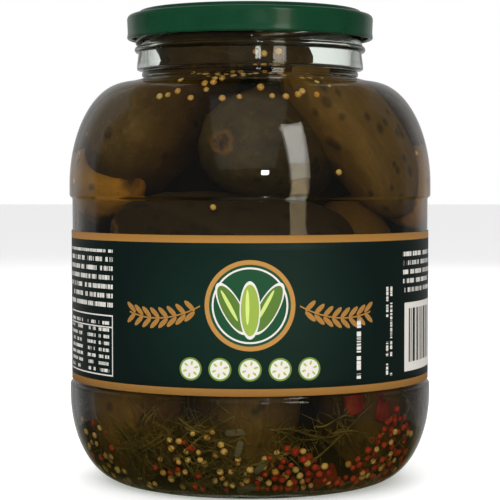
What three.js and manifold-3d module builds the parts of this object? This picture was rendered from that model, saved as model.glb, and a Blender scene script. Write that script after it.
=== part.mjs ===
// A shut glass jar of whole gherkins: the jar, its twist-off cap, the wrap-round label and the packed gherkins.
// Millimetres, +Z up. The origin is the middle of the ring that the jar stands on, and -Y is the label's front.
import * as THREE from "three";
import { mergeVertices } from "three/addons/utils/BufferGeometryUtils.js";
import Module from "manifold-3d";

// The jar's outside
const BODY_R = 63.2; // widest, just above the label panel
const LOWER_R = 63.1; // the band under the label panel
const PANEL_R = 62.2; // the sunk panel that the label is glued to
const BASE_R = 44.6; // outer edge of the ring that the jar stands on
const FOOT_W = 3.6; // width of that ring
const PUSH_UP = 3.2; // rise of the hollow under the base
const HEEL_TOP = 30.6;
const PANEL_BOTTOM = 34.9;
const PANEL_TOP = 98.2;
const PANEL_STEP = 0.9; // height over which the wall steps in to the panel
const SHOULDER_BOTTOM = 102.8;
const SHOULDER_TOP = 138.5;
const SHOULDER_TOP_R = 42.9;

// The neck and its finish
const NECK_ROOT_R = 36.9;
const NECK_ROOT = 140.1;
const NECK_RING_R = 37.9;
const NECK_RING_TOP = 142.2;
const NECK_EDGE = 0.6; // rounding of the ring's edges
const COLLAR_R = 39.6; // the bead that the moulding tongs hold
const COLLAR_BOTTOM = 142.9;
const COLLAR_BAND = 1.3;
const FINISH_R = 39.0;
const THREAD_R = 40.4;
const THREAD_Z = 149.9; // height of the lowest turn, under the cap
const THREAD_BEAD_R = 1.1;
const THREAD_LEAD_IN = 1.6; // from the lowest turn up to where each start begins
const THREAD_STARTS = 4;
const THREAD_SWEEP = Math.PI / 2.4; // turn that each start runs through
const THREAD_RISE = 5.2;
const THREAD_STEPS = 10; // facets along one start
const THREAD_SIDES = 4; // facets round a quarter of its bead
const LIP_TOP = 161.0;
const LIP_ROUND = 1.1;

// The jar's inside
const INNER_R = 59.6;
const FLOOR = 4.6; // thickness of the base at its edge
const FLOOR_R = 41.0;
const FLOOR_RISE = 2.4;
const BORE_R = 35.6;
const INNER_SHOULDER_TOP = 135.6;
const INNER_SHOULDER_TOP_R = 41.4;
const BORE_BOTTOM = 139.4;
const BORE_OVERRUN = 1.0; // how far the cut that clears the bore goes past the lip

// The cap
const CAP_R = 43.0;
const CAP_BOTTOM = 153.4;
const CAP_HEIGHT = 10.1;
const CAP_SHEET = 0.7; // pressed sheet with its lacquer and sealing ring
const CAP_CORNER = 1.7;
const CAP_CURL = 0.8; // radius of the rolled lower edge
const CAP_CURL_START = Math.PI * 0.85; // turn at which the roll leaves the skirt's inside
const CAP_SHOULDER = 8.6; // height of the flat between corner and stacking ring
const CAP_SEAL_GAP = 0.3; // from the lip to the sealing ring
const CAP_EDGE = 0.8; // rounding of the pressed steps
const PANEL_DROP = 1.2; // from the stacking ring down to the middle panel
const STACK_RING_R = 38.6; // outer edge of the raised stacking ring
const STACK_RING_W = 3.4;
const BUTTON_R = 13.0;
const BUTTON_RISE = 0.6;
const CAP_LUGS = 4;
const LUG = { width: 9.0, depth: 1.5, height: 0.9, first: 0.25 }; // first: share of the space between two lugs

// The label
const LABEL_BOTTOM = 35.8;
const LABEL_HEIGHT = 51.3;
const LABEL_SHEET = 0.2;
const LABEL_GAP = 0.15; // glue between the paper and the glass
const LABEL_LAP_STEPS = 2; // facets over which the paper's end lies on its start

// The gherkins. Those that stand round the wall have one length each, and the others are given by the place of
// their middle, the way that their blossom end points, their length and their radius.
const CLEARANCE = 0.6; // between the packed food and the glass
const HEAD_GAP = 1.0; // from the lip down to the highest food
const STANDING = { ring: 41.0, foot: 7.0, radius: 17.6, thinner: 0.8, first: -0.92, lean: 0.05 };
const STANDING_LENGTHS = [62, 64, 93, 80, 62, 64, 81];
const LYING = [
  { at: [-27.0, -13.0, 118.5], to: [-0.72, -0.69, 0.02], length: 60, radius: 18.4 },
  { at: [5.0, -31.0, 113.5], to: [-0.42, -0.9, 0.09], length: 58, radius: 16.2 },
  { at: [32.0, -28.0, 118.0], to: [0.6, 0.14, -0.78], length: 60, radius: 14.6 },
  { at: [-6.0, -41.5, 85.5], to: [0.99, 0.02, -0.05], length: 78, radius: 15.2 },
  { at: [-44.0, -6.0, 101.0], to: [0.25, -0.95, 0.15], length: 52, radius: 12.5 },
];
const CROWNING = { at: [-7.0, 3.0, 146.5], to: [-0.93, 0.3, 0.2], length: 60, radius: 13.2 };
const GHERKIN_SIDES = 9;
const GHERKIN_RINGS = 7;
const GHERKIN_BLUNT = 3; // higher is blunter at the ends
const GHERKIN_BEND = 0.06; // bow as a share of its length
const GHERKIN_BOW_OUT = 0.4; // share of the bow by which the middle moves out

// The packed middle, the bed of spices under it, and the seeds and pepper flakes that show on the bed
const CORE_R = 30.0;
const CORE_TOP = 122.0;
const CORE_STEM_R = 11.0;
const CORE_STEM_TOP = 142.0;
const CORE_TAPER = 14.0; // height over which the column narrows to its stem
const CORE_FOOT = 3.0; // height over which it rises out of the bed
const CORE_STEPS = 24; // facets round it
const BED_GAP = 2.4; // from the glass to the bed
const BED_TOP = 14.0;
const BED_WAIST = 8.4; // height at which its side is bent
const BED_FLOOR_GAP = 1.2; // from the jar's floor to the bed
const SEED_R = 1.4;
const SEED_INSET = 1.54; // from the food's clearance to the middle of a seed
const SEED_COUNT = 32; // strewn round the bed
const SEED_BOTTOM = 6.8;
const SEED_TOP = 20.0; // highest seed that is strewn on the bed
const SEED_SETTLE = 1.6; // higher lets more of them sink
// Drifts of seeds against the glass: the turn from the front, half width, depth, top and number of seeds
const DRIFTS = [
  { turn: 0.87, half: 17.0, depth: 9.0, top: 26.0, seeds: 22 },
  { turn: 0.14, half: 17.0, depth: 9.0, top: 17.0, seeds: 14 },
];
const FLAKE = { count: 12, width: 7.5, height: 6.0, thick: 1.6, bottom: 8.0, top: 30.0, first: 3 };
const STRIDES = [0.7548776662, 0.5698402909]; // steps round and up that fill an area evenly

const ROUND_STEPS = 36; // facets round the jar
const UP = new THREE.Vector3(0, 1, 0); // a lathe's own axis

const wasm = await Module();
wasm.setup();

// Points along an elliptical arc of a profile, radius first and height second.
function arc(centreR, centreZ, radiusR, radiusZ, from, to, steps) {
  return new THREE.EllipseCurve(centreR, centreZ, radiusR, radiusZ, from, to, to < from).getPoints(steps);
}

// Points of a shallow dome from the axis out to its edge.
function dome(edgeR, edgeZ, rise, steps) {
  return Array.from({ length: steps + 1 }, (_, i) => {
    const share = i / steps;
    return new THREE.Vector2(edgeR * share, edgeZ + rise * (1 - share * share));
  });
}

// A profile turned about the Z axis.
function turned(profile, steps = ROUND_STEPS) {
  return new THREE.LatheGeometry(profile, steps).rotateX(Math.PI / 2);
}

// A closed geometry as a solid for joining and cutting.
function solidOf(geometry) {
  const bare = new THREE.BufferGeometry().setAttribute("position", geometry.getAttribute("position"));
  if (geometry.index) bare.setIndex(geometry.index);
  const merged = mergeVertices(bare, 1e-4);
  const triVerts = new Uint32Array(merged.index.array);
  return new wasm.Manifold(
    new wasm.Mesh({ numProp: 3, vertProperties: merged.getAttribute("position").array, triVerts }),
  );
}

// A joined or cut solid as a geometry again.
function geometryOf(solid) {
  const { vertProperties, triVerts } = solid.getMesh();
  return new THREE.BufferGeometry()
    .setAttribute("position", new THREE.BufferAttribute(vertProperties, 3))
    .setIndex(new THREE.BufferAttribute(triVerts, 1));
}

function mesh(name, geometry, colour, roughness, metalness, extra = {}) {
  const made = new THREE.Mesh(
    geometry,
    new THREE.MeshStandardMaterial({ color: colour, roughness, metalness, ...extra }),
  );
  made.name = name;
  return made;
}

// The hollow of the jar from the middle of its floor up to the lip, held clear of the glass.
function hollow(clear, top) {
  return [
    ...dome(FLOOR_R, FLOOR + clear, FLOOR_RISE, 3),
    ...arc(FLOOR_R, HEEL_TOP, INNER_R - FLOOR_R - clear, HEEL_TOP - FLOOR - clear, -Math.PI / 2, 0, 6).slice(1),
    ...arc(
      INNER_SHOULDER_TOP_R,
      SHOULDER_BOTTOM,
      INNER_R - INNER_SHOULDER_TOP_R - clear,
      INNER_SHOULDER_TOP - SHOULDER_BOTTOM - clear,
      0,
      Math.PI / 2,
      6,
    ),
    new THREE.Vector2(BORE_R - clear, BORE_BOTTOM),
    new THREE.Vector2(BORE_R - clear, top),
  ];
}

// Inside radius of the jar's heel at a height.
function heelRadius(height, clear) {
  const drop = THREE.MathUtils.clamp((HEEL_TOP - height) / (HEEL_TOP - FLOOR), 0, 1);
  return FLOOR_R + (INNER_R - FLOOR_R) * Math.sqrt(1 - drop * drop) - clear;
}

function jarProfile() {
  const outside = [
    ...dome(BASE_R - FOOT_W, 0, PUSH_UP, 3),
    ...arc(BASE_R, HEEL_TOP, LOWER_R - BASE_R, HEEL_TOP, -Math.PI / 2, 0, 7),
    new THREE.Vector2(LOWER_R, PANEL_BOTTOM - PANEL_STEP),
    new THREE.Vector2(PANEL_R, PANEL_BOTTOM),
    new THREE.Vector2(PANEL_R, PANEL_TOP),
    new THREE.Vector2(BODY_R, PANEL_TOP + PANEL_STEP),
    ...arc(
      SHOULDER_TOP_R,
      SHOULDER_BOTTOM,
      BODY_R - SHOULDER_TOP_R,
      SHOULDER_TOP - SHOULDER_BOTTOM,
      0,
      Math.PI / 2,
      8,
    ),
    new THREE.Vector2(NECK_ROOT_R, NECK_ROOT),
    new THREE.Vector2(NECK_RING_R, NECK_ROOT + NECK_EDGE),
    new THREE.Vector2(NECK_RING_R, NECK_RING_TOP - NECK_EDGE),
    new THREE.Vector2(NECK_RING_R - NECK_EDGE, NECK_RING_TOP),
    new THREE.Vector2(COLLAR_R, COLLAR_BOTTOM),
    new THREE.Vector2(COLLAR_R, COLLAR_BOTTOM + COLLAR_BAND),
    new THREE.Vector2(FINISH_R, THREAD_Z - THREAD_BEAD_R),
    ...arc(THREAD_R - THREAD_BEAD_R, THREAD_Z, THREAD_BEAD_R, THREAD_BEAD_R, -Math.PI / 3, Math.PI / 3, 2),
    new THREE.Vector2(FINISH_R, THREAD_Z + THREAD_BEAD_R),
    new THREE.Vector2(FINISH_R, LIP_TOP - LIP_ROUND),
    ...arc(FINISH_R - LIP_ROUND, LIP_TOP - LIP_ROUND, LIP_ROUND, LIP_ROUND, Math.PI / 4, Math.PI / 2, 1),
    new THREE.Vector2(BORE_R + LIP_ROUND, LIP_TOP),
  ];
  return [...outside, ...hollow(0, LIP_TOP - LIP_ROUND).reverse()];
}

// One start of the thread that the cap's lugs climb: a round bead that rises round the finish.
function threadStart(turn) {
  const path = Array.from({ length: THREAD_STEPS + 1 }, (_, i) => {
    const share = i / THREAD_STEPS;
    const angle = turn + THREAD_SWEEP * share;
    const height = THREAD_Z + THREAD_LEAD_IN + THREAD_RISE * share;
    const reach = THREAD_R - THREAD_BEAD_R;
    return new THREE.Vector3(reach * Math.cos(angle), reach * Math.sin(angle), height);
  });
  const section = new THREE.Shape().absarc(0, 0, THREAD_BEAD_R, 0, 2 * Math.PI);
  return new THREE.ExtrudeGeometry(section, {
    curveSegments: THREAD_SIDES,
    steps: THREAD_STEPS,
    extrudePath: new THREE.CatmullRomCurve3(path),
  });
}

function jar() {
  let glass = solidOf(turned(jarProfile()));
  for (let i = 0; i < THREAD_STARTS; i++) {
    glass = glass.add(solidOf(threadStart((2 * Math.PI * i) / THREAD_STARTS)));
  }
  const bore = [
    new THREE.Vector2(0, BORE_BOTTOM),
    new THREE.Vector2(BORE_R, BORE_BOTTOM),
    new THREE.Vector2(BORE_R, LIP_TOP + BORE_OVERRUN),
    new THREE.Vector2(0, LIP_TOP + BORE_OVERRUN),
  ];
  glass = glass.subtract(solidOf(turned(bore)));
  return mesh("jar_glass", geometryOf(glass), 0xdde6df, 0.05, 0, { transparent: true, opacity: 0.35 });
}

// The cap in its own frame, with the curled edge at height 0.
function capProfile() {
  const inside = CAP_R - CAP_SHEET;
  const under = LIP_TOP - CAP_BOTTOM + CAP_SEAL_GAP;
  const panel = CAP_HEIGHT - PANEL_DROP;
  const ringInside = STACK_RING_R - STACK_RING_W;
  return [
    new THREE.Vector2(0, under),
    new THREE.Vector2(inside - CAP_EDGE, under),
    new THREE.Vector2(inside, under - CAP_EDGE),
    new THREE.Vector2(inside, 2 * CAP_CURL),
    ...arc(CAP_R - CAP_CURL, CAP_CURL, CAP_CURL, CAP_CURL, CAP_CURL_START, Math.PI * 2, 5),
    ...arc(CAP_R - CAP_CORNER, CAP_SHOULDER - CAP_CORNER, CAP_CORNER, CAP_CORNER, 0, Math.PI / 2, 4),
    new THREE.Vector2(STACK_RING_R + CAP_EDGE, CAP_SHOULDER),
    new THREE.Vector2(STACK_RING_R, CAP_HEIGHT - CAP_EDGE / 3),
    new THREE.Vector2(STACK_RING_R - CAP_EDGE, CAP_HEIGHT),
    new THREE.Vector2(ringInside + CAP_EDGE, CAP_HEIGHT),
    new THREE.Vector2(ringInside, panel),
    new THREE.Vector2(BUTTON_R + 2 * BUTTON_RISE, panel),
    new THREE.Vector2(BUTTON_R, panel + BUTTON_RISE),
    new THREE.Vector2(0, panel + BUTTON_RISE),
  ];
}

function cap() {
  let sheet = solidOf(turned(capProfile()));
  for (let i = 0; i < CAP_LUGS; i++) {
    const lug = new THREE.BoxGeometry(LUG.depth, LUG.width, LUG.height)
      .translate(CAP_R - CAP_SHEET - LUG.depth / 2 + CAP_SHEET / 2, 0, CAP_CURL)
      .rotateZ((2 * Math.PI * (i + LUG.first)) / CAP_LUGS);
    sheet = sheet.add(solidOf(lug));
  }
  const made = mesh("cap", geometryOf(sheet), 0x1f4a2f, 0.3, 0.2);
  made.position.z = CAP_BOTTOM;
  return made;
}

// The label is one strip of paper wound once round the panel, its end lapped over its start at the back.
function label() {
  const facet = (2 * Math.PI) / ROUND_STEPS;
  const start = Math.PI / 2;
  const inner = PANEL_R + LABEL_GAP;
  const winding = Array.from({ length: ROUND_STEPS + LABEL_LAP_STEPS + 1 }, (_, i) => {
    const lapped = i - ROUND_STEPS + LABEL_LAP_STEPS;
    const lifted = THREE.MathUtils.clamp(lapped / LABEL_LAP_STEPS, 0, 1);
    return { angle: start + i * facet, radius: inner + lifted * (LABEL_SHEET + LABEL_GAP) };
  });
  const point = ({ angle, radius }, out) =>
    new THREE.Vector2((radius + out) * Math.cos(angle), (radius + out) * Math.sin(angle));
  const outline = [
    ...winding.map((w) => point(w, LABEL_SHEET)),
    ...winding.map((w) => point(w, 0)).reverse(),
  ];
  const paper = new THREE.ExtrudeGeometry(new THREE.Shape(outline), {
    depth: LABEL_HEIGHT,
    bevelEnabled: false,
  });
  const made = mesh("label", paper, 0x14332a, 0.4, 0);
  made.position.z = LABEL_BOTTOM;
  return made;
}

// One gherkin: a blunt spindle, laid from its middle along its own direction and bowed out towards the wall.
function gherkin({ at, to, length, radius }) {
  const half = length / 2;
  const profile = Array.from({ length: GHERKIN_RINGS + 1 }, (_, i) => {
    const along = -Math.cos((Math.PI * i) / GHERKIN_RINGS);
    const girth = Math.sqrt(Math.max(0, 1 - Math.abs(along) ** GHERKIN_BLUNT));
    return new THREE.Vector2(radius * girth, half * along);
  });
  const middle = new THREE.Vector3(...at);
  const axis = new THREE.Vector3(...to).normalize();
  const bow = new THREE.Vector3(at[0], at[1], 0).projectOnPlane(axis).normalize();
  const turn = new THREE.Quaternion().setFromUnitVectors(UP, axis);
  const body = new THREE.LatheGeometry(profile, GHERKIN_SIDES);
  const points = body.getAttribute("position");
  const point = new THREE.Vector3();
  for (let i = 0; i < points.count; i++) {
    point.fromBufferAttribute(points, i);
    const along = point.y / half;
    point.applyQuaternion(turn).add(middle);
    point.addScaledVector(bow, GHERKIN_BEND * length * (GHERKIN_BOW_OUT - along * along));
    points.setXYZ(i, point.x, point.y, point.z);
  }
  return body;
}

// The standing ring, the ones that lie across it with their half-turn copies behind, and the one in the neck.
function packedGherkins() {
  const standing = STANDING_LENGTHS.map((length, i) => {
    const angle = STANDING.first + (2 * Math.PI * i) / STANDING_LENGTHS.length;
    const [x, y] = [Math.sin(angle), -Math.cos(angle)];
    const lean = STANDING.lean * (i % 2 ? 1 : -1);
    return {
      at: [STANDING.ring * x, STANDING.ring * y, STANDING.foot + length / 2],
      to: [-lean * y, lean * x, 1],
      length,
      radius: STANDING.radius - STANDING.thinner * (i % 3),
    };
  });
  const behind = LYING.map((g) => ({
    ...g,
    at: [-g.at[0], -g.at[1], g.at[2]],
    to: [-g.to[0], -g.to[1], g.to[2]],
  }));
  return [...standing, ...LYING, ...behind, CROWNING].map(gherkin);
}

// Even, repeatable shares between 0 and 1 for the i-th seed or flake, on two axes.
function spread(i) {
  return STRIDES.map((stride) => (0.5 + i * stride) % 1);
}

// One seed against the glass, at a turn from the front.
function seed(turn, height) {
  const reach = heelRadius(height, CLEARANCE + SEED_INSET);
  return new THREE.IcosahedronGeometry(SEED_R, 0).translate(
    reach * Math.sin(turn),
    -reach * Math.cos(turn),
    height,
  );
}

function strewnSeeds() {
  return Array.from({ length: SEED_COUNT }, (_, i) => {
    const [round, high] = spread(i);
    return seed(2 * Math.PI * round, THREE.MathUtils.lerp(SEED_BOTTOM, SEED_TOP, high ** SEED_SETTLE));
  });
}

// A drift is a mound on the bed with seeds over the side that lies against the glass.
function drift({ turn, half, depth, top, seeds }) {
  const middle = (SEED_BOTTOM + top) / 2;
  const mound = new THREE.SphereGeometry(1, 10, 6)
    .scale(half, depth, middle)
    .translate(0, depth - heelRadius(middle, BED_GAP), middle)
    .rotateZ(turn);
  const cover = Array.from({ length: seeds }, (_, i) => {
    const [round, high] = spread(i);
    const width = (half / INNER_R) * Math.sqrt(1 - (2 * high - 1) ** 2);
    return seed(turn + width * (2 * round - 1), THREE.MathUtils.lerp(SEED_BOTTOM, top, high));
  });
  return [mound, ...cover];
}

function flakes() {
  return Array.from({ length: FLAKE.count }, (_, i) => {
    const [high, round] = spread(i + FLAKE.first);
    const height = THREE.MathUtils.lerp(FLAKE.bottom, FLAKE.top, high);
    const reach = heelRadius(height, CLEARANCE + FLAKE.thick);
    return new THREE.BoxGeometry(FLAKE.width, FLAKE.thick, FLAKE.height)
      .rotateY(2 * Math.PI * high)
      .translate(0, -reach, height)
      .rotateZ(2 * Math.PI * round);
  });
}

// The middle that all the pieces are fused to: a bed of spices on the floor, with a column up into the neck.
function core() {
  const bedEdge = heelRadius(BED_TOP, BED_GAP);
  return turned(
    [
      ...dome(FLOOR_R, FLOOR + BED_FLOOR_GAP, FLOOR_RISE, 2),
      new THREE.Vector2(heelRadius(BED_WAIST, BED_GAP), BED_WAIST),
      new THREE.Vector2(bedEdge, BED_TOP),
      new THREE.Vector2(CORE_R, BED_TOP + CORE_FOOT),
      new THREE.Vector2(CORE_R, CORE_TOP - CORE_TAPER),
      new THREE.Vector2(CORE_STEM_R, CORE_TOP),
      new THREE.Vector2(CORE_STEM_R, CORE_STEM_TOP),
      new THREE.Vector2(0, CORE_STEM_TOP),
    ],
    CORE_STEPS,
  );
}

function gherkinHeap() {
  const spices = [...strewnSeeds(), ...DRIFTS.flatMap(drift), ...flakes()];
  const pieces = [core(), ...packedGherkins(), ...spices].map(solidOf);
  const top = LIP_TOP - HEAD_GAP;
  const inside = [...hollow(CLEARANCE, top), new THREE.Vector2(0, top)];
  const fused = wasm.Manifold.union(pieces).intersect(solidOf(turned(inside)));
  // What fusing shuts in is filled, and loose scraps are dropped, by keeping the one largest skin.
  const heap = fused.decompose().reduce((a, b) => (a.volume() > b.volume() ? a : b));
  return mesh("gherkin_heap", geometryOf(heap), 0x4a4020, 0.4, 0);
}

const gherkinJar = new THREE.Group();
gherkinJar.add(jar(), cap(), label(), gherkinHeap());

export default gherkinJar;
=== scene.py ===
# %% [markdown]
# # A jar of gherkins
# This lesson dresses a CAD model of a shut glass jar: clear glass, a green twist-off cap, a printed
# label, and gherkins with seeds and dill in brine. The CAD parts are the fixed frame. Every piece made
# here is in metres, in the same place as the part that it stands for.

# %% The fixed frame
import math

import bmesh
import bpy
import numpy as np
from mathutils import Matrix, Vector, noise


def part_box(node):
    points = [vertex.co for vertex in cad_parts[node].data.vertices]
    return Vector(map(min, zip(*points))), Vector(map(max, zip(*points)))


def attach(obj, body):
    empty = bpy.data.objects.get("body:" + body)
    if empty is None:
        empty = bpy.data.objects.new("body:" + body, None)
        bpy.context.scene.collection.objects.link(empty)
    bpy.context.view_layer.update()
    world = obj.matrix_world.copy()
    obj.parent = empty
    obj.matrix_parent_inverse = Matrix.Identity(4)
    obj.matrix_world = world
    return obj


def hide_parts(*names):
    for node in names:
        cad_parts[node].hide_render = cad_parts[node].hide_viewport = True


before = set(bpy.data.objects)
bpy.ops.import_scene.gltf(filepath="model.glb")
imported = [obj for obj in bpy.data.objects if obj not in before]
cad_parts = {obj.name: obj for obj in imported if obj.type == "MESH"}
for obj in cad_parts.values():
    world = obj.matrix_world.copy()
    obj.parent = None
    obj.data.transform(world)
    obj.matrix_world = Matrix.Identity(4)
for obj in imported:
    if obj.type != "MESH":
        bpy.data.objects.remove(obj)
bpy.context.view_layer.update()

# %% [markdown]
# ## Sizes
# Blender works in metres and a jar maker in millimetres, so sizes are written in millimetres and scaled
# once, when a mesh is made. The outer sizes come from the frame. What a box can't tell, such as the
# glass's thickness and the rounding of its heel, is repeated here from the drawing.

# %% Sizes of the jar
MM = 0.001
FULL_TURN = 2 * math.pi


def box_mm(node):
    """Lowest and highest corner of a CAD node, in millimetres."""
    low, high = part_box(node)
    return np.array(low) / MM, np.array(high) / MM


BODY_R = box_mm("jar_glass")[1][0]
LIP_TOP = box_mm("jar_glass")[1][2]
LOWER_R = BODY_R - 0.1
PANEL_R = BODY_R - 1.0
BASE_R = 44.6
FOOT_W, FOOT_SLOPE, FOOT_LIFT = 3.6, 4.0, 0.9
PUSH_UP = 3.2
HEEL_TOP = 30.6
PANEL_BOTTOM, PANEL_TOP, PANEL_STEP = 34.9, 98.2, 0.9
SHOULDER_BOTTOM, SHOULDER_TOP, SHOULDER_TOP_R = 102.8, 138.5, 42.9
NECK_ROOT_R, NECK_ROOT, NECK_RING_R, NECK_RING_TOP = 36.9, 140.1, 37.9, 142.2
COLLAR_R, COLLAR_BOTTOM, COLLAR_BAND = 39.6, 142.9, 1.3
FINISH_R, THREAD_R, THREAD_Z, THREAD_BEAD_R = 39.0, 40.4, 149.9, 1.1
LIP_ROUND = 1.1
INNER_R, FLOOR, FLOOR_R, FLOOR_RISE = 59.6, 4.6, 41.0, 2.4
BORE_R, BORE_BOTTOM = 35.6, 139.4
INNER_SHOULDER_TOP, INNER_SHOULDER_TOP_R = 135.6, 41.4
print(f"jar: {2 * BODY_R:.1f} mm wide, lip at {LIP_TOP:.1f} mm")

# %% [markdown]
# ## Shader sums
# A finish is easier to read as a formula than as a web of nodes. The class below wraps one output socket
# and lets Python's own operators add the Math nodes, so `1 - mask` works. The nodes could be laid out by
# hand in the shader editor, but a formula can be read, checked and run again.


# %% Sockets that do sums
class Signal:
    """One output socket. Sums, products and comparisons of signals add Math nodes to their tree."""

    def __init__(self, owner, socket):
        self.owner = owner
        self.socket = socket

    def math(self, operation, *terms):
        return self.owner.node("ShaderNodeMath", {"operation": operation}, dict(enumerate(terms)))

    def __add__(self, other):
        return self.math("ADD", self, other)

    __radd__ = __add__

    def __sub__(self, other):
        return self.math("SUBTRACT", self, other)

    def __rsub__(self, other):
        return self.math("SUBTRACT", other, self)

    def __mul__(self, other):
        return self.math("MULTIPLY", self, other)

    __rmul__ = __mul__

    def __truediv__(self, other):
        return self.math("DIVIDE", self, other)

    def __mod__(self, other):
        return self.math("FLOORED_MODULO", self, other)

    def __abs__(self):
        return self.math("ABSOLUTE", self)

    def __lt__(self, other):
        return self.math("LESS_THAN", self, other)

    def __gt__(self, other):
        return self.math("GREATER_THAN", self, other)

    def between(self, low, high):
        return (self > low) * (self < high)

    def larger(self, other):
        return self.math("MAXIMUM", self, other)

    def clamped(self):
        return self.math("MINIMUM", self.larger(0.0), 1.0)

    def root(self):
        return self.math("SQRT", self)

    def whole(self):
        return self.math("FLOOR", self)

    def parts(self):
        """The three parts of a vector."""
        made = self.owner.node("ShaderNodeSeparateXYZ", values={0: self})
        return [Signal(self.owner, socket) for socket in made.socket.node.outputs]


print("besides sums, a signal has:", ", ".join(name for name in vars(Signal) if name[0] != "_"))

# %% [markdown]
# ## Node trees and finishes
# The world and every material hold a tree of nodes. One method makes any node: its kind, its settings,
# then the values or links of its sockets. A finish is a tree with one Principled shader. A value that is
# the same all over goes on the shader's own socket, and only what changes over the surface is linked.


# %% A node tree
class NodeTree:
    """The nodes of the world or of one material."""

    def __init__(self, tree):
        self.tree = tree

    def feed(self, node, values):
        for socket, value in values.items():
            if isinstance(value, Signal):
                self.tree.links.new(value.socket, node.inputs[socket])
            else:
                node.inputs[socket].default_value = value

    def node(self, kind, settings=None, values=None, output=0):
        """Any node: its settings first, then the values or links of its sockets, by name or number."""
        made = self.tree.nodes.new(kind)
        for setting, value in (settings or {}).items():
            setattr(made, setting, value)
        self.feed(made, values or {})
        return Signal(self, made.outputs[output])

    def mix(self, under, over, share):
        return self.node("ShaderNodeMix", {"data_type": "RGBA"}, {0: share, 6: under, 7: over}, output=2)


def rgb(red, green, blue):
    """A colour as it reads on a screen, 0 to 255, in the linear light that shaders use."""
    share = np.array([red, green, blue]) / 255
    linear = np.where(share <= 0.04045, share / 12.92, ((share + 0.055) / 1.055) ** 2.4)
    return (*linear.tolist(), 1.0)


print(f"half grey on a screen is {rgb(128, 128, 128)[0]:.3f} in linear light")


# %% A finish
class Finish(NodeTree):
    """A material with one Principled shader."""

    def __init__(self, name, constants):
        self.material = bpy.data.materials.new(name)
        self.material.use_nodes = True
        super().__init__(self.material.node_tree)
        self.shader = self.tree.nodes["Principled BSDF"]
        self.output = self.tree.nodes["Material Output"]
        self.feed(self.shader, constants)

    def surface(self, **signals):
        """Links what changes over the surface, such as Base_Color=signal."""
        self.feed(self.shader, {name.replace("_", " "): value for name, value in signals.items()})
        print(f"{self.material.name}: {len(self.tree.nodes)} nodes")

    def place(self):
        return self.node("ShaderNodeTexCoord", output="Object")

    def mark(self, name, output="Fac"):
        """A number or a vector that each point of the mesh carries."""
        return self.node("ShaderNodeAttribute", {"attribute_name": name}, output=output)

    def noise(self, vector, scale, detail=3.0, roughness=0.5):
        values = {"Vector": vector, "Scale": scale, "Detail": detail, "Roughness": roughness}
        return self.node("ShaderNodeTexNoise", values=values, output="Fac")

    def stretched(self, vector, factors):
        return self.node("ShaderNodeVectorMath", {"operation": "MULTIPLY"}, {0: vector, 1: factors})

    def bump(self, height, depth_mm, strength=1.0):
        values = {"Height": height, "Distance": depth_mm * MM, "Strength": strength}
        return self.node("ShaderNodeBump", values=values, output="Normal")

    def tint_depth(self, colour, density):
        """Colour that grows with the depth of a clear body. Density is per metre."""
        values = {"Color": colour, "Density": density}
        volume = self.node("ShaderNodeVolumeAbsorption", values=values, output="Volume")
        self.feed(self.output, {"Volume": volume})

    def let_lamps_through(self, tint):
        """Light from the lamps goes straight through, so that what is behind the surface is lit."""
        lamp = self.node("ShaderNodeLightPath", output="Is Shadow Ray")
        clear = self.node("ShaderNodeBsdfTransparent", values={"Color": tint})
        solid = Signal(self, self.shader.outputs[0])
        both = self.node("ShaderNodeMixShader", values={0: lamp, 1: solid, 2: clear})
        self.feed(self.output, {"Surface": both})


print("a finish has:", ", ".join(name for name in vars(Finish) if name[0] != "_"))

# %% [markdown]
# ## Making pieces
# Everything round on the jar was turned in a mould or pressed in a die, so one function that turns a
# profile about the axis makes the glass, the cap and the brine. Profiles are a few corner points with a
# rounding for each corner, plus elliptical arcs, as on the mould's own drawing.


# %% Profiles and turned pieces
def arc(centre_r, centre_z, radius_r, radius_z, start, end, steps):
    angle = np.linspace(start, end, steps + 1)
    return np.column_stack([centre_r + radius_r * np.cos(angle), centre_z + radius_z * np.sin(angle)])


def dome(edge_r, edge_z, rise, steps):
    share = np.linspace(0, 1, steps + 1)
    return np.column_stack([edge_r * share, edge_z + rise * (1 - share**2)])


def rounded(corners, steps=5):
    """A chain of (radius, height, rounding) corners. A rounded corner becomes a small curve."""
    points = [np.array(corner[:2], float) for corner in corners]
    chain = []
    for i, (point, (_, _, rounding)) in enumerate(zip(points, corners)):
        if rounding == 0:
            chain.append(point)
            continue
        before, after = points[i - 1] - point, points[i + 1] - point
        enter = point + before * (rounding / np.linalg.norm(before))
        leave = point + after * (rounding / np.linalg.norm(after))
        for t in np.linspace(0, 1, steps + 1):
            chain.append((1 - t) ** 2 * enter + 2 * t * (1 - t) * point + t**2 * leave)
    return np.array(chain)


SHARP_BEND, EDGE_HOLD, LONG_RUN, SAME_POINT = 0.1, 0.12, 0.6, 1e-6


def held(profile):
    """Adds a point close beside each sharp bend, so that smooth shading keeps the long runs straight."""
    apart = np.linalg.norm(np.diff(profile, axis=0), axis=1)
    profile = profile[np.concatenate([[True], apart > SAME_POINT])]
    runs = np.diff(profile, axis=0)
    lengths = np.linalg.norm(runs, axis=1)
    bends = np.angle(np.exp(1j * np.diff(np.arctan2(runs[:, 1], runs[:, 0]))))
    sharp = np.concatenate([[False], np.abs(bends) > SHARP_BEND, [False]])
    chain = []
    for i, (start, run, length) in enumerate(zip(profile, runs, lengths)):
        step = run * (EDGE_HOLD / length)
        chain.append(start)
        if length > LONG_RUN and sharp[i]:
            chain.append(start + step)
        if length > LONG_RUN and sharp[i + 1]:
            chain.append(start + run - step)
    return np.array([*chain, profile[-1]])


def skin_between(rows, columns):
    """Quads that join rows of points to a tube. Each row closes on itself."""
    index = np.arange(rows * columns).reshape(rows, columns)
    ahead = np.roll(index, -1, axis=1)
    return np.stack([index[:-1], ahead[:-1], ahead[1:], index[1:]], -1).reshape(-1, 4)


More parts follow.
